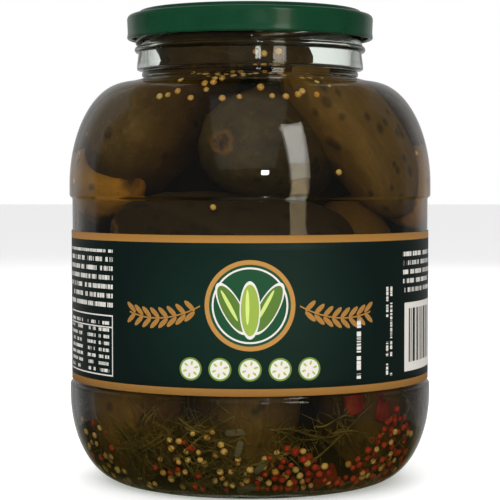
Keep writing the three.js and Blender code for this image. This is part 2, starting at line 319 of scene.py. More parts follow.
def turned(profile, steps):
    """Points and quads of a profile turned about the axis. The first column of points faces the front."""
    angle = np.arange(steps) * FULL_TURN / steps
    radius, height = profile[:, 0:1], profile[:, 1:2]
    points = np.stack([radius * np.sin(angle), -radius * np.cos(angle), height + 0 * angle], -1)
    return points.reshape(-1, 3), skin_between(len(profile), steps)


print(f"a rounded corner takes {len(rounded([(0, 0, 0), (2, 0, 1), (2, 2, 0)])) - 2} points")

# %% From arrays to a piece of the jar
WELD = 1e-7


def piece(name, points, faces, finish, replaces=None, slot=None, attributes=None, weld=False):
    """A smooth mesh of points in millimetres that rides on the jar."""
    mesh = bpy.data.meshes.new(name)
    mesh.from_pydata((np.asarray(points) * MM).tolist(), [], np.asarray(faces).tolist())
    for mark_name, values in (attributes or {}).items():
        values = np.asarray(values, np.float32)
        kind, field = ("FLOAT_VECTOR", "vector") if values.ndim == 2 else ("FLOAT", "value")
        mesh.attributes.new(mark_name, kind, "POINT").data.foreach_set(field, values.ravel())
    if weld:
        shape = bmesh.new()
        shape.from_mesh(mesh)
        bmesh.ops.remove_doubles(shape, verts=shape.verts, dist=WELD)
        shape.to_mesh(mesh)
        shape.free()
    mesh.polygons.foreach_set("use_smooth", np.ones(len(mesh.polygons), bool))
    mesh.materials.append(finish.material)
    made = bpy.data.objects.new(name, mesh)
    bpy.context.scene.collection.objects.link(made)
    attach(made, "root")
    if replaces:
        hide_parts(replaces)
    triangles = sum(len(polygon.vertices) - 2 for polygon in mesh.polygons)
    print(f"{name}: {triangles} triangles")
    return made


def joined(parts):
    """One set of points and faces from many."""
    points, faces, start = [], [], 0
    for part_points, part_faces in parts:
        points.append(part_points)
        faces.append(part_faces + start)
        start += len(part_points)
    return np.vstack(points), np.vstack(faces)


print(f"points within {WELD / MM * 1000:.1f} micrometres are welded")

# %% [markdown]
# ## The camera and the floor
# The camera stands where the photograph's did: level with the shoulder, looking down a little, through a
# long lens. The floor is a plain pale plane. A curved backdrop would do as well, but a plane is enough
# here. It is hidden from rays that pass through the glass or mirror in it, because there it would lie as
# a grey veil over the food.

# %% Camera and floor
CAMERA_DISTANCE, CAMERA_HEIGHT = 616.7, 105.8
CAMERA_PITCH = 0.042
FOCAL_PIXELS, IMAGE_PIXELS, SENSOR_WIDTH = 1750.9, 500, 36.0
FLOOR_HALF = 6000

lens = bpy.data.cameras.new("camera")
lens.sensor_width = SENSOR_WIDTH
lens.lens = SENSOR_WIDTH * FOCAL_PIXELS / IMAGE_PIXELS
camera = bpy.data.objects.new("camera", lens)
camera.location = (0, -CAMERA_DISTANCE * MM, CAMERA_HEIGHT * MM)
camera.rotation_euler = (math.pi / 2 - CAMERA_PITCH, 0, 0)
bpy.context.scene.collection.objects.link(camera)
bpy.context.scene.camera = camera

floor_paint = Finish(
    "floor_paint",
    {
        "Base Color": (0.95, 0.95, 0.95, 1),
        "Roughness": 0.6,
        "Emission Color": (1, 1, 1, 1),
        "Emission Strength": 0.18,
    },
)
floor_mesh = bpy.data.meshes.new("floor")
floor_mesh.from_pydata(
    [(x * FLOOR_HALF * MM, y * FLOOR_HALF * MM, 0) for x, y in ((-1, -1), (1, -1), (1, 1), (-1, 1))],
    [],
    [(0, 1, 2, 3)],
)
floor_mesh.materials.append(floor_paint.material)
floor = bpy.data.objects.new("floor", floor_mesh)
bpy.context.scene.collection.objects.link(floor)
floor.visible_glossy = False
floor.visible_transmission = False
print(f"camera lens {lens.lens:.1f} mm")

# %% [markdown]
# ## The background
# Clear glass shows what is behind it, so the background is white to look at. In reflections a white world
# would veil the whole jar, so there it is dim, apart from the part behind the jar that draws its bright
# edges. Panels could do this too, but the Light Path node tells the kinds of ray apart in one formula.
# Rays that leave the jar downwards meet the light that the brine has turned yellow.

# %% The background
BACKGROUND_WHITE, AMBIENT, STUDIO_DIM, BACKDROP = 1.0, 0.75, 0.06, 0.42
BACKDROP_EDGE, BACKDROP_FULL, UNDER_FLOOR = 0.6, 0.88, -0.4
WHITE, BRINE_LIGHT = (1, 1, 1, 1), (1.0, 0.84, 0.28, 1)

world = bpy.data.worlds.new("studio")
bpy.context.scene.world = world
world.use_nodes = True
studio = NodeTree(world.node_tree)
diffuse_depth = studio.node("ShaderNodeLightPath", output="Diffuse Depth")
glossy_depth = studio.node("ShaderNodeLightPath", output="Glossy Depth")
_, way_back, way_up = studio.node("ShaderNodeTexCoord", output="Generated").parts()
lit_by_sky = diffuse_depth > 0.5
looked_at = (diffuse_depth + glossy_depth) < 0.5
strength = lit_by_sky * (AMBIENT - STUDIO_DIM) + looked_at * (BACKGROUND_WHITE - STUDIO_DIM) + STUDIO_DIM
above_floor = ((way_up - UNDER_FLOOR) / (-UNDER_FLOOR / 2)).clamped()
behind_jar = ((way_back - BACKDROP_EDGE) / (BACKDROP_FULL - BACKDROP_EDGE)).clamped()
strength = strength.larger(behind_jar * above_floor * BACKDROP)
colour = studio.mix(BRINE_LIGHT, WHITE, above_floor)
studio.feed(world.node_tree.nodes["Background"], {"Color": colour, "Strength": strength})
bpy.context.scene.view_settings.view_transform = "Standard"
print(f"background {BACKGROUND_WHITE}, ambient {AMBIENT}, in reflections {STUDIO_DIM}")

# %% [markdown]
# ## The lamps
# A studio for glass is built for its reflections: a tall strip, warmer towards the table, for the bright
# line down the shoulder, a spark beside it, broad dim panels above, and one panel on each side behind for
# the rims. The food is lit by softboxes in front and behind that don't mirror in the glass. Each lamp is
# placed by its angles, as on a lighting plan.

# %% The lamps
AIM = Vector((0, 0, 0.08))


def softbox(name, azimuth, elevation, distance, width, height, radiance, mirrored=True, colour=(1, 1, 1)):
    """A rectangular lamp that looks at the jar. Azimuth 0 is the camera's side and 90 the right."""
    turn, rise = math.radians(azimuth), math.radians(elevation)
    back = Vector((math.sin(turn) * math.cos(rise), -math.cos(turn) * math.cos(rise), math.sin(rise)))
    light = bpy.data.lights.new(name, "AREA")
    light.shape = "RECTANGLE"
    light.size, light.size_y = width, height
    light.energy = radiance * math.pi * width * height
    light.color = colour
    lamp = bpy.data.objects.new(name, light)
    lamp.location = AIM + back * distance
    lamp.rotation_euler = back.to_track_quat("Z", "Y").to_euler()
    lamp.visible_glossy = mirrored
    lamp.visible_transmission = mirrored
    lamp.visible_camera = False
    bpy.context.scene.collection.objects.link(lamp)
    print(f"{name}: {light.energy:.2f} W")


# Azimuth and elevation in degrees, then distance, width and height in metres, then radiance.
softbox("key", -25, 42, 1.2, 1.0, 1.0, 3.0, mirrored=False)
softbox("back_key", 165, 40, 1.2, 1.0, 1.0, 2.0, mirrored=False)
softbox("back_fill", 188, 3, 1.1, 0.6, 0.3, 4.0, mirrored=False)
softbox("low_fill", 12, 3, 1.1, 0.6, 0.3, 6.5, mirrored=False)
softbox("front_panel", -2, 46, 1.1, 0.8, 1.52, 0.13)
softbox("back_panel", 180, 58, 1.0, 0.8, 0.35, 0.35)
softbox("strip", 30, 28, 1.0, 0.22, 0.49, 3.8, colour=(1, 0.96, 0.9))
softbox("strip_middle", 30, 9.5, 1.0, 0.21, 0.16, 3.0, colour=(1, 0.88, 0.7))
softbox("strip_low", 30, 1, 1.0, 0.19, 0.13, 2.4, colour=(1, 0.76, 0.46))
softbox("spark", 8.4, 11.9, 0.2555, 0.018, 0.0107, 30.0)
softbox("rim_left", -130, 12, 1.1, 0.7, 1.2, 0.15)
softbox("rim_right", 130, 12, 1.1, 0.7, 1.2, 0.08)

CLEAR_BOUNCES = 32
cycles = bpy.context.scene.cycles
cycles.caustics_refractive = False
cycles.caustics_reflective = False
cycles.max_bounces = CLEAR_BOUNCES
cycles.transmission_bounces = CLEAR_BOUNCES
cycles.transparent_max_bounces = CLEAR_BOUNCES

# %% [markdown]
# ## The glass
# The jar is pressed and blown in a two-part mould, so its outside is exact and its inside is a little
# soft. It is one turned skin, outside and inside in one piece, because light bends twice in a real wall.
# The thread for the cap's lugs is pushed out of the same skin, and so are the grip marks under the foot,
# so no second piece of glass lies inside the first.

# %% The jar's profile
ROUND_STEPS = 180


def hollow(reach, level=None):
    """Inside of the jar from the middle of its floor upwards, moved outwards by reach."""
    upper = [(BORE_R + reach, BORE_BOTTOM, 0), (BORE_R + reach, level or LIP_TOP - LIP_ROUND, 0)]
    shoulder = arc(
        INNER_SHOULDER_TOP_R,
        SHOULDER_BOTTOM,
        INNER_R - INNER_SHOULDER_TOP_R + reach,
        INNER_SHOULDER_TOP - SHOULDER_BOTTOM + reach,
        0,
        math.pi / 2,
        22,
    )
    heel = arc(FLOOR_R, HEEL_TOP, INNER_R - FLOOR_R + reach, HEEL_TOP - FLOOR + reach, -math.pi / 2, 0, 22)
    return np.vstack([dome(FLOOR_R, FLOOR - reach, FLOOR_RISE, 10)[:-1], heel, shoulder, rounded(upper)])


def jar_outside():
    foot = rounded([(BASE_R - FOOT_W - FOOT_SLOPE, FOOT_LIFT, 0), (BASE_R - FOOT_W, 0, 0.6), (BASE_R, 0, 0)])
    heel = arc(BASE_R, HEEL_TOP, LOWER_R - BASE_R, HEEL_TOP, -math.pi / 2, 0, 26)
    panel = rounded(
        [
            (LOWER_R, HEEL_TOP, 0),
            (LOWER_R, PANEL_BOTTOM - PANEL_STEP, 0.5),
            (PANEL_R, PANEL_BOTTOM, 0.4),
            (PANEL_R, PANEL_TOP, 0.4),
            (BODY_R, PANEL_TOP + PANEL_STEP, 0.5),
            (BODY_R, SHOULDER_BOTTOM, 0),
        ]
    )
    shoulder = arc(
        SHOULDER_TOP_R,
        SHOULDER_BOTTOM,
        BODY_R - SHOULDER_TOP_R,
        SHOULDER_TOP - SHOULDER_BOTTOM,
        0,
        math.pi / 2,
        30,
    )
    neck = rounded(
        [
            (SHOULDER_TOP_R, SHOULDER_TOP, 0),
            (NECK_ROOT_R, NECK_ROOT, 0.6),
            (NECK_RING_R, NECK_ROOT + 0.6, 0.4),
            (NECK_RING_R, NECK_RING_TOP - 0.4, 0.5),
            (NECK_RING_R - 0.6, NECK_RING_TOP + 0.2, 0.3),
            (COLLAR_R, COLLAR_BOTTOM, 0.5),
            (COLLAR_R, COLLAR_BOTTOM + COLLAR_BAND, 0.5),
            (FINISH_R, THREAD_Z - THREAD_BEAD_R, 0),
        ]
    )
    bead = arc(THREAD_R - THREAD_BEAD_R, THREAD_Z, THREAD_BEAD_R, THREAD_BEAD_R, -1.2, 1.2, 10)
    finish_heights = np.linspace(THREAD_Z + THREAD_BEAD_R, LIP_TOP - LIP_ROUND, 36)
    finish = np.column_stack([np.full_like(finish_heights, FINISH_R), finish_heights])
    lip = arc(FINISH_R - LIP_ROUND, LIP_TOP - LIP_ROUND, LIP_ROUND, LIP_ROUND, 0, math.pi / 2, 6)[1:]
    inner_lip = arc(BORE_R + LIP_ROUND, LIP_TOP - LIP_ROUND, LIP_ROUND, LIP_ROUND, math.pi / 2, math.pi, 6)
    under = dome(BASE_R - FOOT_W - FOOT_SLOPE, FOOT_LIFT, PUSH_UP - FOOT_LIFT, 10)[:-1]
    return np.vstack([under, foot, heel[1:], panel[1:], shoulder[1:], neck[1:], bead, finish, lip, inner_lip])


outside = jar_outside()
glass_profile = held(np.vstack([outside, hollow(0)[::-1][1:]]))
print(f"glass profile: {len(glass_profile)} points")

# %% Thread and grip marks in the same skin
THREAD_STARTS, THREAD_SWEEP, THREAD_RISE, THREAD_LEAD_IN = 4, math.pi / 2.4, 5.2, 1.6
THREAD_RUN_IN = 1 / 8
GRIP_MARKS, GRIP_DEPTH, GRIP_WIDTH = 60, 0.25, 1.2


def with_thread(points):
    """Pushes the four thread starts out of the finish, as round beads that climb under the cap."""
    turn = np.arctan2(points[:, 1], points[:, 0]) % FULL_TURN
    radius = np.hypot(points[:, 0], points[:, 1])
    on_finish = (points[:, 2] > THREAD_Z + THREAD_BEAD_R) & (radius > FINISH_R - 0.01)
    push = np.zeros(len(points))
    for start in np.arange(THREAD_STARTS) * FULL_TURN / THREAD_STARTS:
        share = ((turn - start) % FULL_TURN) / THREAD_SWEEP
        height = THREAD_Z + THREAD_LEAD_IN + THREAD_RISE * np.clip(share, 0, 1)
        across = (points[:, 2] - height) / THREAD_BEAD_R
        run_in = np.clip(np.minimum(share, 1 - share) / THREAD_RUN_IN, 0, 1)
        push = np.maximum(push, (THREAD_R - FINISH_R) * np.sqrt(np.clip(1 - across**2, 0, 1)) * run_in)
    grown = 1 + np.where(on_finish, push, 0) / np.maximum(radius, 1)
    return points * np.column_stack([grown, grown, np.ones(len(points))])


def with_grip_marks(points):
    """Lifts short notches out of the ring that the jar stands on."""
    radius = np.hypot(points[:, 0], points[:, 1])
    turn = np.arctan2(points[:, 1], points[:, 0])
    on_foot = np.exp(-(((radius - BASE_R + FOOT_W / 2) / GRIP_WIDTH) ** 2)) * (points[:, 2] < 0.5)
    notch = 0.5 - 0.5 * np.cos(GRIP_MARKS * turn)
    return points + np.column_stack([0 * turn, 0 * turn, GRIP_DEPTH * notch * on_foot])


glass_points, glass_faces = turned(glass_profile, ROUND_STEPS)
glass_points = with_grip_marks(with_thread(glass_points))
print(f"{THREAD_STARTS} thread starts and {GRIP_MARKS} grip marks")

# %% [markdown]
# ## Clear glass
# Bottle glass looks colourless in a thin wall and faintly green where it is thick, so its colour is
# absorption in its depth. Tracing the lamps' light through it would be slow and grainy: the lamps shine
# straight through instead. Slow waves from the mould and finer ripples could be modelled, but a bump is
# enough to bend the reflections.

# %% Clear glass
clear_glass = Finish(
    "clear_glass",
    {"Base Color": (0.97, 0.99, 0.98, 1), "Roughness": 0.0, "IOR": 1.5, "Transmission Weight": 1.0},
)
mould_waves = clear_glass.noise(clear_glass.place(), 26.0, detail=2.0)
ripples = clear_glass.noise(clear_glass.place(), 110.0, detail=1.0)
clear_glass.surface(Normal=clear_glass.bump(0.8 * mould_waves + 0.24 * ripples, 0.6, strength=0.6))
clear_glass.let_lamps_through((0.94, 0.96, 0.95, 1))
clear_glass.tint_depth((0.62, 0.84, 0.4, 1), 16.0)
piece("glass_jar", glass_points, glass_faces, clear_glass, "jar_glass", "glass", weld=True)

# %% [markdown]
# ## The cap
# A twist-off cap is pressed from lacquered tinplate: a rolled edge at the bottom, lugs bent inwards, a
# rounded corner, a raised ring for stacking, and a button in the middle that clicks when the vacuum is
# lost. It is turned from one profile, and the lugs are four small bent tabs. A box with a bevel would do
# from afar, but the ring, the curl and the waist are what catch the light.

# %% The cap's shape
CAP_LOW, CAP_HIGH = box_mm("cap")
CAP_R, CAP_BOTTOM, CAP_TOP = CAP_HIGH[0], CAP_LOW[2], CAP_HIGH[2]
CAP_SHEET, CAP_CORNER, CAP_CURL, CAP_WAIST, CAP_SEAL = 0.7, 1.7, 0.8, 0.22, 0.3
CAP_SHOULDER = CAP_BOTTOM + 8.6
STACK_RING_R, STACK_RING_W = 38.6, 3.4
CAP_PANEL = CAP_TOP - 1.2
BUTTON_R, BUTTON_RISE = 13.0, 0.6
CAP_LUGS, LUG_WIDTH, LUG_DEPTH, LUG_HEIGHT = 4, 9.0, 1.5, 0.9
LINING_SLACK = 0.02


def cap_profile():
    inside = CAP_R - CAP_SHEET
    under = LIP_TOP + CAP_SEAL
    skirt_inside = rounded([(0, under, 0), (inside, under, 0.8), (inside, CAP_BOTTOM + 2 * CAP_CURL, 0)])
    curl = arc(CAP_R - CAP_CURL, CAP_BOTTOM + CAP_CURL, CAP_CURL, CAP_CURL, math.pi * 0.85, FULL_TURN, 14)
    waist = rounded(
        [
            (CAP_R, CAP_BOTTOM + CAP_CURL, 0),
            (CAP_R - CAP_WAIST, CAP_BOTTOM + 2 * CAP_CURL + 0.5, 0.6),
            (CAP_R, CAP_SHOULDER - CAP_CORNER, 0),
        ]
    )
    corner = arc(CAP_R - CAP_CORNER, CAP_SHOULDER - CAP_CORNER, CAP_CORNER, CAP_CORNER, 0, math.pi / 2, 12)
    top = rounded(
        [
            (CAP_R - CAP_CORNER, CAP_SHOULDER, 0),
            (STACK_RING_R + 0.8, CAP_SHOULDER, 0.4),
            (STACK_RING_R, CAP_TOP, 0.8),
            (STACK_RING_R - STACK_RING_W, CAP_TOP, 0.8),
            (STACK_RING_R - STACK_RING_W - 0.8, CAP_PANEL, 0.5),
            (BUTTON_R + 3, CAP_PANEL, 1.5),
            (BUTTON_R, CAP_PANEL + BUTTON_RISE, 1.0),
            (0, CAP_PANEL + BUTTON_RISE, 0),
        ]
    )
    return np.vstack([skirt_inside, curl, waist[1:], corner, top[1:]])


def lug(turn):
    """One tab of sheet bent in from the curl."""
    corners = np.array([(x, y, z) for z in (0, 1) for x, y in ((0, -1), (1, -0.8), (1, 0.8), (0, 1))], float)
    corners *= (-LUG_DEPTH, LUG_WIDTH / 2, LUG_HEIGHT)
    corners += (CAP_R - CAP_SHEET + 0.3, 0, CAP_BOTTOM + 0.4)
    spin = np.array([[math.cos(turn), math.sin(turn), 0], [-math.sin(turn), math.cos(turn), 0], [0, 0, 1]])
    faces = [(0, 1, 2, 3), (7, 6, 5, 4), (0, 4, 5, 1), (1, 5, 6, 2), (2, 6, 7, 3), (3, 7, 4, 0)]
    return corners @ spin, np.array(faces)


lug_turns = (np.arange(CAP_LUGS) + 0.25) * FULL_TURN / CAP_LUGS
cap_points, cap_faces = joined([turned(held(cap_profile()), ROUND_STEPS), *map(lug, lug_turns)])
cap_reach, cap_height = np.hypot(cap_points[:, 0], cap_points[:, 1]), cap_points[:, 2]
cap_lining = cap_reach < CAP_R - CAP_SHEET + LINING_SLACK
cap_lining &= cap_height < LIP_TOP + CAP_SEAL + LINING_SLACK
cap_lining &= cap_height > CAP_BOTTOM + 2 * CAP_CURL
print(f"cap: {2 * CAP_R:.1f} mm across, top at {CAP_TOP:.1f} mm")

# %% [markdown]
# ## Green enamel
# The tinplate is lacquered dark green outside, under a thin clear coat, and white inside. One colour
# would look like plastic, so slow noise varies the green and the gloss, a fine noise adds specks, and a
# shallow bump is the orange peel of sprayed lacquer. Each point of the mesh says whether it is on the
# inside.

# %% Green enamel
enamel = Finish(
    "green_enamel",
    {"IOR": 1.5, "Specular IOR Level": 0.25, "Coat Weight": 0.12, "Coat Roughness": 0.06},
)
cap_place = enamel.place()
lacquer_flow = enamel.noise(cap_place, 90.0, detail=2.0)
speckle = enamel.noise(cap_place, 1400.0, detail=1.0)
green = enamel.mix(rgb(7, 40, 24), rgb(11, 51, 30), lacquer_flow)
green = enamel.mix(green, rgb(22, 70, 44), (speckle - 0.62).clamped() * 2.0)
lining = enamel.mark("lining")
enamel.surface(
    Base_Color=enamel.mix(green, rgb(240, 238, 230), lining),
    Roughness=0.16 + 0.1 * lacquer_flow,
    Normal=enamel.bump(enamel.noise(cap_place, 600.0, detail=1.0), 0.02, strength=0.35),
)
piece("twist_off_cap", cap_points, cap_faces, enamel, "cap", "cap_enamel", {"lining": cap_lining}, weld=True)

# %% [markdown]
# ## The brine
# Vinegar and salt water, tinted by the dill and the skins. Drawn to the glass's inner face it would leave
# a film of air, which shines like a mirror, so it reaches a hair into the wall. Its colour comes from
# absorption in its depth and not from its surface: a thin layer is nearly clear, and the middle of the
# jar is dark.

# %% The brine
BRINE_REACH, BRINE_LEVEL, MENISCUS = 0.15, 140.6, 1.0

brine = Finish("brine", {"Roughness": 0.0, "IOR": 1.34, "Transmission Weight": 1.0})
brine.let_lamps_through((1, 1, 1, 1))
brine.tint_depth((0.74, 0.66, 0.38, 1), 55.0)
surface_share = np.linspace(1, 0, 14)
brine_surface = np.column_stack(
    [(BORE_R + BRINE_REACH) * surface_share, BRINE_LEVEL + MENISCUS * surface_share**16]
)
brine_profile = held(np.vstack([hollow(BRINE_REACH, BRINE_LEVEL + MENISCUS)[:-1], brine_surface]))
piece("brine", *turned(brine_profile, ROUND_STEPS), brine, weld=True)

# %% [markdown]
# ## Where the gherkins lie
# A packer stands a ring of gherkins on the floor of the jar and lays the rest across the top, the last
# one up in the neck. A physics drop could pack them, but they have to lie where the CAD model's heap has
# them, so each is given its middle, its direction and its size. The lying ones at the back repeat those
# in front, half a turn round. In their looks, ripe is how yellow and warts how many. Shade darkens the
# skin: it is painted shade for the standing ones low in the jar and the one lying under the others, and a
# darker tone for the one in the middle.

# %% Where the gherkins lie
STANDING_RING, STANDING_FOOT, STANDING_RADIUS, STANDING_THINNER = 41.0, 7.0, 17.6, 0.8
STANDING_FIRST, STANDING_LEAN = -0.92, 0.05
STANDING_LENGTHS = [62, 64, 93, 80, 62, 64, 81]
LYING = [
    {"at": (-27.0, -13.0, 118.5), "to": (-0.72, -0.69, 0.02), "length": 60, "radius": 18.4},
    {"at": (5.0, -31.0, 113.5), "to": (-0.42, -0.9, 0.09), "length": 58, "radius": 16.2},
    {"at": (32.0, -28.0, 118.0), "to": (0.6, 0.14, -0.78), "length": 60, "radius": 14.6},
    {"at": (-6.0, -41.5, 85.5), "to": (0.99, 0.02, -0.05), "length": 78, "radius": 15.2},
    {"at": (-44.0, -6.0, 101.0), "to": (0.25, -0.95, 0.15), "length": 52, "radius": 12.5},
]
LYING_LOOKS = [
    {"ripe": 0.14},
    {"ripe": 0.04, "shade": 0.22},
    {"ripe": 0.2, "warts": 70},
    {"shade": 0.86, "warts": 90},
    {"ripe": 0.95},
]
# Painted shade for the standing gherkins, low in the jar behind the label and the dill.
STANDING_SHADE = 0.3
CROWNING = {"at": (-7.0, 3.0, 146.5), "to": (-0.93, 0.3, 0.2), "length": 60, "radius": 13.2}


def standing_gherkins():
    for i, length in enumerate(STANDING_LENGTHS):
        turn = STANDING_FIRST + FULL_TURN * i / len(STANDING_LENGTHS)
        x, y = math.sin(turn), -math.cos(turn)
        lean = STANDING_LEAN * (1 if i % 2 else -1)
        yield {
            "at": (STANDING_RING * x, STANDING_RING * y, STANDING_FOOT + length / 2),
            "to": (-lean * y, lean * x, 1),
            "length": length,
            "radius": STANDING_RADIUS - STANDING_THINNER * (i % 3),
            "shade": STANDING_SHADE,
        }


def behind(spec):
    """The same gherkin half a turn round the jar."""
    (x, y, z), (along, across, up) = spec["at"], spec["to"]
    return {**spec, "at": (-x, -y, z), "to": (-along, -across, up)}


standing = list(standing_gherkins())
in_front = [{**spec, **looks} for spec, looks in zip(LYING, LYING_LOOKS)]
lying = [*in_front, *map(behind, in_front), CROWNING]
print(f"{len(standing)} gherkins stand, {len(lying)} lie")

# %% [markdown]
# ## The inside of the glass
# Soft things in a full jar lie flat against the wall. A collision or a boolean cut could do that, but the
# wall is round, so its inside radius is a formula of the height, and any point beyond it is moved in.


# %% The inside of the glass
def wall_radius(height):
    """Inside radius of the jar at a height."""
    drop = np.clip((HEEL_TOP - height) / (HEEL_TOP - FLOOR), 0, 1)
    rise = np.clip((height - SHOULDER_BOTTOM) / (INNER_SHOULDER_TOP - SHOULDER_BOTTOM), 0, 1)
    heel = FLOOR_R + (INNER_R - FLOOR_R) * np.sqrt(1 - drop**2)
    shoulder = INNER_SHOULDER_TOP_R + (INNER_R - INNER_SHOULDER_TOP_R) * np.sqrt(1 - rise**2)
    into_neck = np.clip((height - INNER_SHOULDER_TOP) / (BORE_BOTTOM - INNER_SHOULDER_TOP), 0, 1)
    neck = INNER_SHOULDER_TOP_R + (BORE_R - INNER_SHOULDER_TOP_R) * into_neck
    return np.minimum(np.minimum(heel, shoulder), np.where(height > INNER_SHOULDER_TOP, neck, INNER_R))


def pressed(points, clear):
    """Points moved in where they would pass through the glass."""
    radius = np.hypot(points[:, 0], points[:, 1])
    limit = np.maximum(wall_radius(points[:, 2]) - clear, 0)
    pull = np.minimum(1, limit / np.maximum(radius, 1e-6))
    floor_z = FLOOR + clear + FLOOR_RISE * np.clip(1 - (radius / FLOOR_R) ** 2, 0, 1)
    height = np.clip(points[:, 2], floor_z, LIP_TOP - 1.5)
    return np.column_stack([points[:, 0] * pull, points[:, 1] * pull, height])


print(f"inside radius behind the label: {wall_radius(np.array([PANEL_BOTTOM]))[0]:.1f} mm")

# %% [markdown]
# ## One gherkin
# A small cucumber, pickled whole: a blunt spindle with a slight bow, soft sides, warts, and a scar at
# each end. A sculpted mesh would do for one, but the jar holds many, no two alike, so each is a formula
# over length and turn with its own seed. Where it meets the glass it is pressed flat, as in a packed jar.
# Each point keeps the marks that the skin's colours need.

# %% One gherkin
GHERKIN_BLUNT, GHERKIN_BEND = 3.0, 0.06
GHERKIN_AROUND, GHERKIN_ALONG = 96, 84
WARTS, WART_HEIGHT, WART_SIZE, WART_LIMIT = 34, 0.55, 1.5, 0.86
SCAR_SIZE, SCAR_DEPTH, SCAR_RIM = 2.7, 0.5, 0.35
DENT_SIZE, DENT_DEPTH = 9, 0.45
PRESS = 0.35


def gherkin(spec, seed):
    """Points, faces and the skin's marks of one gherkin."""
    draw = np.random.default_rng(seed)
    half, radius = spec["length"] / 2, spec["radius"]
    along = -np.cos(np.linspace(0, math.pi, GHERKIN_ALONG + 1))[:, None]
    turn = (np.arange(GHERKIN_AROUND) * FULL_TURN / GHERKIN_AROUND)[None, :]
    girth = np.sqrt(np.maximum(0, 1 - np.abs(along) ** GHERKIN_BLUNT))
    sides = 1 + 0.03 * np.cos(3 * turn + draw.uniform(0, 6)) + 0.018 * np.cos(2 * turn + draw.uniform(0, 6))
    ridges = 0.006 * np.cos(11 * turn + 2 * np.sin(3 * along)) * girth
    reach = radius * girth * (sides + ridges)
    local = np.stack([reach * np.cos(turn), reach * np.sin(turn), half * along + 0 * turn], -1)

    wart = np.zeros(reach.shape)
    for _ in range(spec.get("warts", WARTS)):
        wart_along, wart_turn = draw.uniform(-WART_LIMIT, WART_LIMIT), draw.uniform(0, FULL_TURN)
        apart = np.angle(np.exp(1j * (turn - wart_turn))) * radius
        distance = np.hypot(apart, (along - wart_along) * half) / (WART_SIZE * draw.uniform(0.7, 1.3))
        wart = np.maximum(wart, np.exp(-(distance**2)))
    from_tip = np.hypot(reach, (1 - np.abs(along)) * half)
    ragged = 1 + 0.07 * np.cos(3 * turn + draw.uniform(0, 6)) + 0.05 * np.cos(7 * turn)
    scar = np.exp(-((from_tip / (SCAR_SIZE * ragged)) ** 4))
    rim = np.exp(-(((from_tip / (SCAR_SIZE * ragged) - 1.15) / 0.3) ** 2))

    flat = local.reshape(-1, 3)
    offset = Vector(draw.uniform(-99, 99, 3))
    dents = np.array([noise.fractal(Vector(p) / DENT_SIZE + offset, 1.0, 2.0, 3) for p in flat])
    dents = dents.reshape(reach.shape)
    outward = np.stack([np.cos(turn) + 0 * along, np.sin(turn) + 0 * along, 0 * reach], -1)
    outward = outward * np.sqrt(np.maximum(0, 1 - along**8))[..., None]
    outward[..., 2] += np.sign(along) * np.abs(along) ** 8
    lift = WART_HEIGHT * wart * (1 - scar) + DENT_DEPTH * dents + SCAR_RIM * rim - SCAR_DEPTH * scar
    local = local + outward * lift[..., None]

    axis = Vector(spec["to"]).normalized()
    side = axis.orthogonal().normalized()
    spin = np.array([side, axis.cross(side), axis])
    out = Vector((spec["at"][0], spec["at"][1], 0))
    bow = (out - axis * out.dot(axis)).normalized()
    bent = GHERKIN_BEND * spec["length"] * (0.4 - along**2)
    points = local @ spin + np.array(spec["at"]) + bent[..., None] * np.array(bow)

    marks = {
        "skin": flat + np.array(offset),
        "scar": scar.ravel(),
        "scar_rim": rim.ravel(),
        "wart": wart.ravel(),
        "ripeness": np.full(reach.size, spec.get("ripe", draw.uniform(0.0, 0.45))),
        "shade": np.full(reach.size, spec.get("shade", 0.0)),
    }
    return pressed(points.reshape(-1, 3), PRESS), skin_between(*reach.shape), marks


print(f"one gherkin: {GHERKIN_AROUND * (GHERKIN_ALONG + 1)} points")

# %% [markdown]
# ## Pickled skin
# Vinegar turns the green skin to a dull olive with paler streaks along its length, darker blotches, brown
# pores and a straw-coloured scar. An image wrapped round each gherkin would show seams, so the colours
# are layers of noise in the gherkin's own space, with masks for warts and scars from the marks on its
# points. The warts are painted darker, as painted shadow of the bumps, and the shade mark darkens whole
# gherkins, mostly as painted shade.

# %% Pickled skin
pickled_skin = Finish("pickled_skin", {"IOR": 1.4, "Specular IOR Level": 0.3})
mark = pickled_skin.mark
skin = mark("skin", "Vector")
streaks = pickled_skin.noise(pickled_skin.stretched(skin, (1, 1, 0.07)), 0.55, detail=4.0, roughness=0.6)
blotches = pickled_skin.noise(skin, 0.11, detail=5.0, roughness=0.6)
pores = pickled_skin.noise(skin, 2.4, detail=2.0)
mottle = pickled_skin.noise(skin, 0.5, detail=6.0, roughness=0.7)
olive = pickled_skin.mix(rgb(47, 40, 25), rgb(84, 69, 38), ((blotches - 0.36) * 3.2).clamped())
olive = pickled_skin.mix(olive, rgb(30, 27, 17), ((0.5 - mottle) * 4.0).clamped() * 0.6)
olive = pickled_skin.mix(olive, rgb(111, 94, 50), ((streaks - 0.54) * 5.0).clamped() * 0.6)
olive = pickled_skin.mix(olive, rgb(220, 152, 56), mark("ripeness"))
# Painted shade: the shade mark darkens the skin towards a shaded brown.
olive = pickled_skin.mix(olive, rgb(17, 14, 8), mark("shade"))
# Painted shadow: warts are darkened where the photograph showed their shadows.
olive = pickled_skin.mix(olive, rgb(21, 18, 11), ((mark("wart") - 0.2) * 2.0).clamped() * 0.6)
olive = pickled_skin.mix(olive, rgb(36, 32, 18), ((pores - 0.55) * 5.0).clamped() * 0.5)
olive = pickled_skin.mix(olive, rgb(130, 91, 42), mark("scar_rim") * 0.75)
scar_flesh = pickled_skin.mix(rgb(50, 32, 15), rgb(114, 76, 33), ((mottle - 0.4) * 4.0).clamped())
olive = pickled_skin.mix(olive, scar_flesh, mark("scar"))
pickled_skin.surface(
    Base_Color=olive,
    Roughness=0.38 + 0.2 * blotches,
    Normal=pickled_skin.bump(0.6 * pores + 0.4 * streaks, 0.35, strength=0.5),
)

